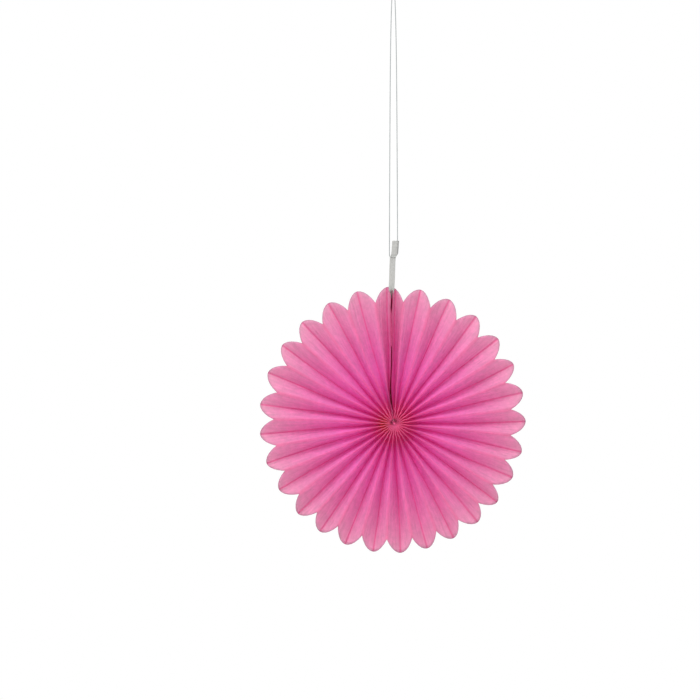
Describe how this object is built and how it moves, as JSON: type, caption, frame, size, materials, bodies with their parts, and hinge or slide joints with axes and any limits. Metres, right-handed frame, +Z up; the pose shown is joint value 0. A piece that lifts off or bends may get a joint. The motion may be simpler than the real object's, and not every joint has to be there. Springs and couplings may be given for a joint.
{
  "type": "hanging paper fan rosette",
  "caption": "Pink pleated tissue rosette with scalloped petals, taped at its top seam, hung from a white ribbon and a fine thread loop.",
  "frame": {"origin": "middle of the rosette: centre of its round outline, halfway through the depth of its pleats", "axes": "+Z up towards the thread's loop, -Y out of the side that faces the viewer, +X to the viewer's right"},
  "size_m": [0.152, 0.0104, 0.324],
  "materials": {
    "tissue": "matte",
    "ribbon": "satin",
    "thread": "gloss",
    "tape": "matte",
    "glue": "satin"
  },
  "bodies": {
    "root": {"pleated_fan": "tissue", "hub_glue": "glue", "seam_tape": "tape", "ribbon": "ribbon", "thread_tie": "thread", "hanging_thread": "thread"}
  },
  "joints": []
}
